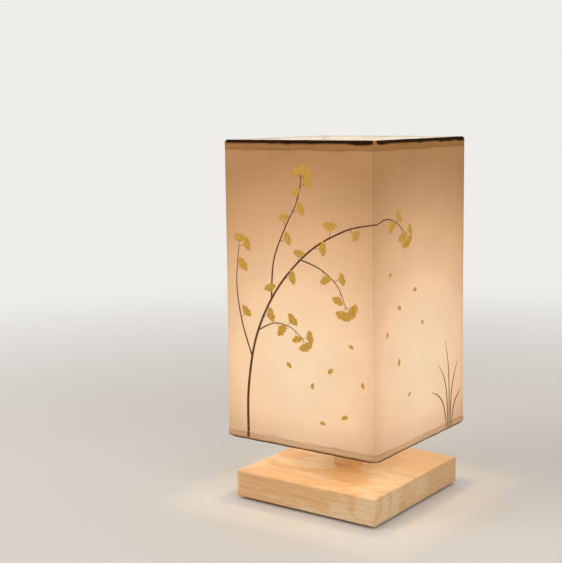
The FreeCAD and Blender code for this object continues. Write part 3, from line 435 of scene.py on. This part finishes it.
def hem_rows():
    """The rolled hem from its inner flap round the wire to the outer face, and half of the face above it.

    Each row is (depth, height, outward depth, outward height, inner): the outward pair is the way that the
    roll swells, and an inner row is cut away where a rod or an arm comes through.
    """
    reach = math.hypot(PINCH_DEPTH - WIRE_DEPTH, PINCH_HEIGHT - WIRE_DEPTH)
    lean = math.atan2(PINCH_HEIGHT - WIRE_DEPTH, PINCH_DEPTH - WIRE_DEPTH)
    start = lean - math.acos(ROLL_RADIUS / reach)
    rows = [
        (FLAP_DEPTH, HEM, 0, 0, True),
        (FLAP_DEPTH, 7.2, 0, 0, True),
        (PINCH_DEPTH, PINCH_HEIGHT, 0, 0, True),
    ]
    tangent = (WIRE_DEPTH + ROLL_RADIUS * math.cos(start), WIRE_DEPTH + ROLL_RADIUS * math.sin(start))
    middle = ((PINCH_DEPTH + tangent[0]) / 2, (PINCH_HEIGHT + tangent[1]) / 2)
    rows.append((*middle, 0.3, 0.1, True))
    steps = 18
    for n in range(steps + 1):
        angle = start + (-math.pi - start) * n / steps
        cos, sin = math.cos(angle), math.sin(angle)
        at = (WIRE_DEPTH + ROLL_RADIUS * cos, WIRE_DEPTH + ROLL_RADIUS * sin)
        rows.append((*at, cos, sin, angle > math.radians(-50)))
    height, step = WIRE_DEPTH, 1.0
    depth = WIRE_DEPTH - ROLL_RADIUS
    while height < (HIGH - LOW) / 2 - step:
        height += step
        step = min(step * 1.1, 3.0)
        rows.append((depth, height, -math.exp(-(height - WIRE_DEPTH) / 2.5), 0, False))
    return rows


def panel_rows():
    """The rows of a panel from its lower hem to its upper one, each also with whether it is an upper one."""
    lower = [(depth, LOW + h, out, up, inner, False) for depth, h, out, up, inner in hem_rows()]
    upper = [(depth, HIGH - h, out, -up, inner, True) for depth, h, out, up, inner in reversed(hem_rows())]
    return lower + upper


def panel_columns():
    """(share of the straight run, turn at the corner) across a panel."""
    arcs = [math.radians(angle) for angle in (9, 18, 27, 36, 45)]
    straight = 104
    return (
        [(-1, -turn) for turn in reversed(arcs)]
        + [(n / straight * 2 - 1, 0) for n in range(straight + 1)]
        + [(1, turn) for turn in arcs]
    )


def cloth_point(side, row, column):
    """The point in the middle of the cloth where a row of panel_rows meets a column of panel_columns."""
    depth, z, out, up, inner, top = row
    share, turn = column
    u = share * (HALF - CORNER)
    swollen = puff(side, u, top)
    depth += out * swollen
    z += up * swollen
    if WIRE_DEPTH < min(z - LOW, HIGH - z):
        depth -= swell(side, u, z)
    if not top:
        z += CORNER_LIFT * smooth((abs(u) - HALF + 7) / 6) * smooth((LOW + HEM - z) / HEM)
    centre = max(CORNER, depth + FOLD_CORNER)
    reach = centre - depth
    if not inner:
        # the seam down the corner is pulled in a little
        reach -= {45: 0.16, 36: 0.04}.get(round(math.degrees(abs(turn))), 0)
    along = share * (HALF - centre) + reach * math.sin(turn)
    return on_side(side, along, centre - reach * math.cos(turn), z)


def panel(side, outer_paint, inner_paint):
    """One sewn cloth panel of the shade, with its rolled hems and its inner seam allowance."""
    rows, columns = panel_rows(), panel_columns()
    grid = [[cloth_point(side, row, column) for column in columns] for row in rows]

    def keep(i, j):
        """Whether there is cloth between these rows and columns: the hems are cut out for rods and arms."""
        row = rows[i] if rows[i][4] else rows[i + 1]
        if not (rows[i][4] or rows[i + 1][4]):
            return True
        middle = (columns[j][0] + columns[j + 1][0]) / 2 * (HALF - CORNER)
        if columns[j][1] or columns[j + 1][1] or abs(middle) > HALF - CORNER_NOTCH:
            return False
        return row[5] or abs(middle) > ARM_NOTCH / 2

    points, faces, tags = shell(grid, CLOTH, keep)
    picks = [1 if kind == 1 or rows[i][4] or rows[i][2] > 0.1 else 0 for i, kind in tags]
    name = SIDES[side]
    cloth = piece(f"cloth_{name}", points, faces, "shade", "shade_cloth", [outer_paint, inner_paint], picks)
    low, length = LOW + HEM + STRIP_MARGIN, HIGH - LOW - 2 * HEM - 2 * STRIP_MARGIN
    strip = []
    for n in range(STRIP_STEPS + 1):
        z = low + n * length / STRIP_STEPS
        # its free edge is cut by hand
        cut = 0.25 * noise.noise(Vector((z * 0.1, side, 4)))
        strip.append([
            on_side(side, u + (cut if u == STRIP_COLUMNS[0] else 0), STRIP_DEPTH - swell(side, u, z), z)
            for u in STRIP_COLUMNS
        ])
    points, faces, _ = shell(strip, STRIP_THICKNESS)
    allowance = piece(f"seam_strip_{name}", points, faces, "shade", "shade_cloth", [inner_paint])
    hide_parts(f"panel_{name}")


def join(parts):
    """Several (points, faces) pairs as one."""
    points, faces = [], []
    for some_points, some_faces, *_ in parts:
        faces += [tuple(index + len(points) for index in face) for face in some_faces]
        points += some_points
    return points, faces


def bar_faces(rings, sides):
    """Faces of a closed bar whose points lie in rings, with a cap at each end."""
    faces = []
    last = (rings - 1) * sides
    for start in range(0, last, sides):
        for n in range(sides):
            m = (n + 1) % sides
            faces.append((start + n, start + m, start + sides + m, start + sides + n))
    return faces + [tuple(reversed(range(sides))), tuple(range(last, last + sides))]


def tube(path, radii, sides):
    """A closed round bar along a path, as thick as radii says at each of its points."""
    points = []
    side = None
    for i, (point, radius) in enumerate(zip(path, radii)):
        ahead = (path[min(i + 1, len(path) - 1)] - path[max(i - 1, 0)]).normalized()
        side = (side or ahead.orthogonal()) - ahead * (side or ahead.orthogonal()).dot(ahead)
        side.normalize()
        other = ahead.cross(side)
        for n in range(sides):
            angle = 2 * math.pi * n / sides
            points.append(point + (side * math.cos(angle) + other * math.sin(angle)) * radius)
    return points, bar_faces(len(path), sides)


def bead(centre, size):
    """A closed blob, half as wide as size says along each axis."""
    rings, sides = 7, 14
    points = []
    for i in range(1, rings):
        up = math.pi * i / rings
        for n in range(sides):
            angle = 2 * math.pi * n / sides
            way = Vector((math.sin(up) * math.cos(angle), math.sin(up) * math.sin(angle), -math.cos(up)))
            rough = 1 + 0.10 * noise.noise(way * 1.7 + centre)
            points.append(centre + Vector((way.x * size[0], way.y * size[1], way.z * size[2])) * rough)
    return points, bar_faces(rings - 1, sides)


def on_cloth(side, u, z, lift):
    """A point lift above the outer face of the cloth, also where that rounds a corner."""
    height = min(z - LOW, HIGH - z)
    loose = puff(side, u, z > (LOW + HIGH) / 2) * math.exp(-(height - WIRE_DEPTH) / 2.5)
    straight = max(min(u, HALF - CORNER), CORNER - HALF)
    turn = (u - straight) / CORNER
    reach = CORNER - (WIRE_DEPTH - ROLL_RADIUS) + CLOTH / 2 + swell(side, u, z) + loose + lift
    return on_side(side, straight + reach * math.sin(turn), CORNER - reach * math.cos(turn), z)


def hem_stitches(side, paint):
    """Thread along both hems, in the cloth's own colour."""
    inset, count, first, pitch = 1.1, 43, -69.5, 3.26
    stitches = []
    for z in (LOW + HEM - inset, HIGH - HEM + inset):
        for n in range(count):
            start = first + n * pitch
            path = [
                on_cloth(side, start + step, z, lift)
                for step, lift in ((0, -0.12), (0.3, 0.05), (1.1, 0.10), (1.9, 0.05), (2.2, -0.12))
            ]
            stitches.append(tube(path, (0.06, 0.15, 0.17, 0.15, 0.06), 6))
    piece(f"hem_stitches_{SIDES[side]}", *join(stitches), "shade", "shade_cloth", [paint])


def curve_through(points, steps):
    """Points of a smooth line through points in a plane."""

    def spline(p, q, r, s, t):
        square, cube = 2 * p - 5 * q + 4 * r - s, 3 * q - p - 3 * r + s
        return 0.5 * (2 * q + (r - p) * t + square * t * t + cube * t ** 3)

    ends = [points[0], *points, points[-1]]
    line = []
    for four in zip(ends, ends[1:], ends[2:], ends[3:]):
        line += [tuple(spline(*part, n / steps) for part in zip(*four)) for n in range(steps)]
    return line + [points[-1]]


def printed_line(side, line, widths):
    """A thin layer of ink along a line on the cloth, as wide as widths says at each share of its length."""
    grid = []
    for i, (u, z) in enumerate(line):
        before, after = line[max(i - 1, 0)], line[min(i + 1, len(line) - 1)]
        run, rise = after[0] - before[0], after[1] - before[1]
        length = math.hypot(run, rise)
        half = widths(i / (len(line) - 1)) / 2
        across = (rise / length * half, -run / length * half)
        grid.append([on_cloth(side, u + across[0] * k, z + across[1] * k, INK_LIFT) for k in (-1, 0, 1)])
    return shell(grid, INK)


def printed_leaf(side, u, z, lean, size, lift):
    """A printed leaf like an open fan with a notch in its wavy edge, its point at (u, z)."""
    grid = []
    for i in range(5):
        row = []
        for j in range(15):
            turn = lean + math.radians(-58 + j * 116 / 14)
            notch = 0.80 if j == 7 else 0.93 if j in (6, 8) else 1 - 0.05 * (j % 3)
            if j in (0, 14):
                notch = 0.86
            reach = size * (0.10 + 0.225 * i * notch)
            row.append(on_cloth(side, u + reach * math.sin(turn), z + reach * math.cos(turn), lift))
        grid.append(row)
    return shell(grid, INK)


# A printed design in millimetres along the side and up: twigs as (first width, last width, points), blades
# of grass as points, and drifting leaves as (place, place up, lean in degrees)
TWIGS = (
    (2.6, BEND_WIDTH, (
        (-52, 58.9), (-51, 105), (-42, 150), (-20, 190), (12, 222), (46, 240), (72.3, BEND_HEIGHT),
    )),
    (1.5, 0.6, ((-47, 128), (-58, 158), (-63, 190), (-60, 222))),
    (1.6, 0.6, ((-27, 180), (-24, 212), (-12, 240), (0, 262), (4, 280))),
    (1.2, 0.5, ((4, 214), (22, 208), (38, 196), (46, 180))),
    (1.1, 0.5, ((-40, 153), (-24, 160), (-8, 158), (4, 150))),
)
SHORT_TWIGS = ((BEND_WIDTH, 0.5, ((-72.3, BEND_HEIGHT), (-56, 249), (-40, 244), (-27, 235))),)
GRASS = (
    ((44, 58.9), (43, 86), (38, 104), (28, 117)),
    ((46, 58.9), (47, 92), (45, 116), (40, 136)),
    ((48, 58.9), (51, 88), (57, 106), (64, 116)),
    ((42, 58.9), (37, 80), (28, 90), (17, 95)),
    ((50, 58.9), (56, 78), (63, 85), (69, 88)),
)
DRIFTING = (
    (30, 128, 140), (52, 150, 200), (12, 112, 100), (44, 92, 160), (-8, 128, 220), (60, 118, 80),
    (24, 84, 190),
)
DRIFTING_BY_GRASS = (
    (-52, 206, 150), (-36, 178, 210), (-58, 158, 120), (-12, 190, 170), (-40, 132, 100), (2, 160, 230),
    (-22, 104, 160),
)


def blade_width(share):
    """How wide a blade of grass is, from its foot to its tip."""
    return 0.25 + 1.1 * math.sin(math.pi * share ** 0.6)


def leafy_twig(side, draw, first, last, points):
    """The lines of a printed twig and of its stalks, and its leaves as (place, place up, lean, size)."""
    line = curve_through(points, 9)
    lines, leaves = [printed_line(side, line, lambda share: first + (last - first) * share)], []
    count = max(3, len(line) // 6)
    for n in range(count):
        at = round((FIRST_LEAF + (1 - FIRST_LEAF) * n / (count - 1)) * (len(line) - 1))
        u, z = line[at]
        before = line[max(at - 2, 0)]
        along = math.atan2(u - before[0], z - before[1])
        # one leaf at a time, on either side in turn, and three at the twig's end
        for turn in ((0.9, -0.9, 0.05) if n == count - 1 else ((0.85, -0.85)[n % 2],)):
            lean = along + turn + draw.uniform(-0.25, 0.25)
            stalk = draw.uniform(2.8, 4.8)
            tip = (u + stalk * math.sin(lean), z + stalk * math.cos(lean))
            if abs(tip[0]) <= LEAF_REACH:
                lines.append(printed_line(side, curve_through(((u, z), tip), 4), lambda share: 0.35))
                leaves.append((*tip, lean, draw.uniform(6.8, 9.0)))
    return lines, leaves


def printing(side, brown, ochre):
    """The print on one side of the shade: tall twigs, or a short one with grass, and drifting leaves."""
    draw = random.Random(11 + side)
    main = side % 2 == 0
    lines, leaves = [], []
    for twig in TWIGS if main else SHORT_TWIGS:
        some_lines, some_leaves = leafy_twig(side, draw, *twig)
        lines += some_lines
        leaves += some_leaves
    edge = HALF - CORNER
    bend = [((1 if main else -1) * (edge - 0.3 + 0.25 * n), BEND_HEIGHT) for n in range(7)]
    lines.append(printed_line(side, bend, lambda share: BEND_WIDTH))
    if not main:
        for blade in GRASS:
            lines.append(printed_line(side, curve_through(blade, 8), blade_width))
    for u, z, lean in DRIFTING if main else DRIFTING_BY_GRASS:
        leaves.append((u, z, math.radians(lean), draw.uniform(3.4, 4.6)))
    # neighbouring leaves lie at different heights, so that no two of them share a plane
    fans = [printed_leaf(side, *leaf, 0.13 + 0.04 * (n % 4)) for n, leaf in enumerate(leaves)]
    name = SIDES[side]
    piece(f"printed_twigs_{name}", *join(lines), "shade", "shade_cloth", [brown])
    piece(f"printed_leaves_{name}", *join(fans), "shade", "shade_cloth", [ochre])


def ink_paint(name, colour, glow):
    """Printing ink on the cloth, a little patchy, with the light behind it."""
    p = Paint(name)
    patchy = p.between(p.speckle(420.0, None, 3.0), 0.3, 0.7)
    washed = p.between(p.speckle(120.0, None, 2.0), 0.35, 0.65, 0.0, 0.5)
    dull = rgb(*(part * 0.78 for part in colour))
    faded = rgb(*(part * 0.75 + 0.06 for part in colour))
    base = p.mix(washed, p.mix(patchy, dull, rgb(*colour)), faded)
    light = p.mix(patchy, rgb(*(part * 0.7 for part in glow)), rgb(*glow))
    normal = p.bump(p.speckle(1600.0, None, 1.0), 0.2, 0.00004)
    lit = {"Emission_Color": light, "Emission_Strength": 1.0}
    return p.finish(p.surface(base, 0.8, normal, Specular_IOR_Level=0.15, **lit))


def welds(paint):
    """Small weld beads where the frame's wires and rods meet."""
    # where an arm meets the fitter ring and the bottom ring: distance out, height and half sizes
    arm_welds = ((30.6, 72.75, 2.5, 2.1, 1.75), (70.6, 61.5, 1.9, 2.4, 1.7))
    # where a rod meets the two rings
    rod, rod_welds = 70.87, (62.2, 305.8)
    beads = []
    for cos, sin in QUARTERS:
        for out, up, along, across, high in arm_welds:
            size = (along, across, high) if cos else (across, along, high)
            beads.append(bead(Vector((cos * out, sin * out, up)), size))
        for up in rod_welds:
            beads.append(bead(Vector(((cos - sin) * rod, (sin + cos) * rod, up)), (1.75, 1.75, 1.3)))
    piece("frame_welds", *join(beads), "shade", "frame_paint", [paint])


def skirt_thread(paint):
    """The coarse outer thread of the lampholder that the clamping nut runs on."""
    turns, pitch, low, out = 8.4, 2.5, 74.4, 19.60
    count = round(turns * 40)
    path, radii = [], []
    for n in range(count + 1):
        share = n / count
        angle = share * turns * 2 * math.pi
        path.append(Vector((out * math.cos(angle), out * math.sin(angle), low + share * turns * pitch)))
        radii.append(0.32 * min(1, 0.25 + 40 * share, 0.25 + 40 * (1 - share)))
    piece("skirt_thread", *tube(path, radii, 6), "root", "white_plastic", [paint])


def rolled_cap(paint):
    """The bulb's metal cap with its rolled screw thread, in place of the plain shell."""
    pitch, crest, root, around = 3.63, 13.05, 12.25, 72
    outline = [(9.9, 73.5), (10.6, 74.2), (11.8, 75.5), (12.5, 76.3)]
    thread = [76.8 + n * 0.25 for n in range(44)]
    sleeve = [(crest, 88.3), (crest, 90), (crest, 91.9), (13.35, 92.5), (13.75, 93.2), (13.9, 93.6)]
    sleeve += [(13.9, 94.8), (13.82, 95.9)]
    outer = []
    for n in range(around):
        angle = 2 * math.pi * n / around
        column = list(outline)
        # the thread's crests grow from nothing and end in the plain sleeve, and its roots are flat
        for z in thread:
            wave = 0.5 + 0.5 * math.cos(2 * math.pi * (z / pitch - n / around))
            fade = smooth((z - 76.0) / 2.0)
            end = smooth((z - 85.6) / 2.2)
            radius = root + (crest - root) * (wave ** 0.8 * fade * (1 - end) + end)
            column.append((max(radius, 12.3), z))
        column += sleeve
        outer.append([Vector((r * math.cos(angle), r * math.sin(angle), z)) for r, z in column])
    rows = len(outer[0])
    wall = 0.3
    points = [point for column in outer for point in column]
    for column in outer:
        for point in column:
            flat = Vector((point.x, point.y, 0)).normalized()
            points.append(point - flat * wall)
    back = around * rows
    faces = []
    for n in range(around):
        m = (n + 1) % around
        for i in range(rows - 1):
            a, b, c, d = n * rows + i, m * rows + i, m * rows + i + 1, n * rows + i + 1
            faces.append((a, b, c, d))
            faces.append((a + back, d + back, c + back, b + back))
        faces.append((m * rows, n * rows, n * rows + back, m * rows + back))
        top = rows - 1
        faces.append((n * rows + top, m * rows + top, m * rows + top + back, n * rows + top + back))
    cap = piece("bulb_cap_rolled", points, faces, "bulb", "bulb_metal", [paint])
    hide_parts("bulb_cap")


def coiled_filament(paint):
    """The fine coil between the leads, bowed up over its support."""
    bow, half_span, top, turns, steps, coil_radius, wire = 19.04, 11, 148.5, 44, 12, 0.36, 0.08
    reach = math.asin(half_span / bow)
    path = []
    for n in range(turns * steps + 1):
        share = n / (turns * steps)
        lean = -reach + 2 * reach * share
        outward = Vector((math.sin(lean), 0, math.cos(lean)))
        centre = Vector((0, 0, top - bow)) + outward * bow
        spin = 2 * math.pi * n / steps
        path.append(centre + (outward * math.cos(spin) + Vector((0, 1, 0)) * math.sin(spin)) * coil_radius)
    coil = piece("filament_coil", *tube(path, [wire] * len(path), 6), "bulb", "hot_filament", [paint])
    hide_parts("bulb_filament")


def surroundings():
    """The pale floor, and a soft even light all round that shows as the same pale colour."""
    scene = bpy.context.scene
    pale = rgb(0.86, 0.845, 0.82)
    half = 6.0
    corners = [(-half, -half, 0), (half, -half, 0), (half, half, 0), (-half, half, 0)]
    mesh = bpy.data.meshes.new("floor")
    mesh.from_pydata(corners, [], [(0, 1, 2, 3)])
    mesh.materials.append(floor_paint(pale))
    floor = bpy.data.objects.new("floor", mesh)
    scene.collection.objects.link(floor)

    world = bpy.data.worlds.new("surroundings")
    world.use_nodes = True
    nodes, links = world.node_tree.nodes, world.node_tree.links
    nodes.clear()
    path = nodes.new("ShaderNodeLightPath").outputs
    seen = path["Is Camera Ray"]
    for other in ("Is Glossy Ray", "Is Transmission Ray"):
        either = nodes.new("ShaderNodeMath")
        either.operation = "MAXIMUM"
        links.new(seen, either.inputs[0])
        links.new(path[other], either.inputs[1])
        seen = either.outputs[0]
    soft = nodes.new("ShaderNodeBackground")
    soft.inputs["Color"].default_value = rgb(1.0, 0.98, 0.95)
    soft.inputs["Strength"].default_value = 0.42
    shown = nodes.new("ShaderNodeBackground")
    shown.inputs["Color"].default_value = pale
    shown.inputs["Strength"].default_value = 1.0
    mixed = nodes.new("ShaderNodeMixShader")
    links.new(seen, mixed.inputs[0])
    links.new(soft.outputs[0], mixed.inputs[1])
    links.new(shown.outputs[0], mixed.inputs[2])
    links.new(mixed.outputs[0], nodes.new("ShaderNodeOutputWorld").inputs["Surface"])
    scene.world = world


def lights():
    """The studio's soft boxes, turned to the middle of the lamp, and the lamp's own light."""
    collection = bpy.context.scene.collection
    lamp_middle = 0.15
    for name, place, size, power in SOFT_BOXES:
        lamp = bpy.data.lights.new(name, "AREA")
        lamp.size, lamp.energy, lamp.color = size, power, BOX_COLOUR
        holder = bpy.data.objects.new(name, lamp)
        holder.location = place
        aim = Vector((0, 0, lamp_middle)) - Vector(place)
        holder.rotation_euler = aim.to_track_quat("-Z", "Y").to_euler()
        collection.objects.link(holder)
    for name, height, radius, power in LAMP_LIGHTS:
        bulb = bpy.data.lights.new(name, "POINT")
        bulb.energy, bulb.color, bulb.shadow_soft_size = power, LAMP_COLOUR, radius
        holder = bpy.data.objects.new(name, bulb)
        holder.location = (0, 0, height)
        holder.visible_camera = holder.visible_transmission = holder.visible_glossy = False
        collection.objects.link(holder)


def view():
    """The camera at the photograph's place."""
    scene = bpy.context.scene
    camera = bpy.data.cameras.new("camera")
    camera.sensor_fit = "AUTO"
    camera.sensor_width = 36.0
    camera.lens = CAMERA_LENS
    camera.shift_x = camera.shift_y = CAMERA_SHIFT
    camera.clip_start, camera.clip_end = 0.05, 50
    eye = bpy.data.objects.new("camera", camera)
    eye.matrix_world = (
        Matrix.Translation(CAMERA_PLACE)
        @ Matrix.Rotation(math.radians(CAMERA_ROUND), 4, "Z")
        @ Matrix.Rotation(math.radians(90 - CAMERA_DOWN), 4, "X")
        @ Matrix.Rotation(math.radians(CAMERA_ROLL), 4, "Z")
    )
    scene.collection.objects.link(eye)
    scene.camera = eye
    scene.view_settings.view_transform = "Standard"


def dress(paints):
    """Give every CAD node that still shows the finish of its kind."""
    for names, paint in paints.items():
        for name in names.split():
            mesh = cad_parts[name].data
            mesh.materials.clear()
            mesh.materials.append(paint)


surroundings()
lights()
view()
outer_cloth, inner_cloth = cloth_paint("lit_cloth", False), cloth_paint("lit_cloth_inside", True)
brown_ink = ink_paint("brown_ink", (0.10, 0.036, 0.010), (0.03, 0.008, 0.0))
ochre_ink = ink_paint("ochre_ink", (0.48, 0.25, 0.040), (0.20, 0.11, 0.01))
for side in range(4):
    panel(side, outer_cloth, inner_cloth)
    hem_stitches(side, outer_cloth)
    printing(side, brown_ink, ochre_ink)

zinc = plain_paint("zinc_plate", (0.62, 0.62, 0.60), 0.32, 1.0, (300, 300, 900))
ivory = plain_paint("ivory_plastic", (0.84, 0.80, 0.72), 0.38)
painted = plain_paint("painted_wire", (0.80, 0.76, 0.68), 0.36)
aluminium = plain_paint("rolled_aluminium", (0.74, 0.73, 0.70), 0.26, 1.0, (200, 200, 900))
welds(painted)
skirt_thread(ivory)
rolled_cap(aluminium)
coiled_filament(hot_paint())
dress({
    "base_block stem_sleeve": wood_paint(),
    "foot_pads": plain_paint("black_rubber", (0.02, 0.018, 0.016), 0.8),
    "threaded_tube base_washer base_nut neck_screw terminal_screws": zinc,
    "holder_cap holder_skirt shade_ring": ivory,
    "holder_insert": plain_paint("glazed_white", (0.86, 0.84, 0.78), 0.14),
    "screw_shell centre_contact bulb_contact": plain_paint("bright_brass", (0.78, 0.58, 0.27), 0.22, 1.0),
    "bottom_ring top_ring corner_rods spider_arms fitter_ring": painted,
    "bulb_insulator": plain_paint("black_glass", (0.015, 0.015, 0.015), 0.12),
    "bulb_glass bulb_stem": glass_paint(),
    "bulb_leads": plain_paint("drawn_wire", (0.55, 0.52, 0.48), 0.3, 1.0),
})
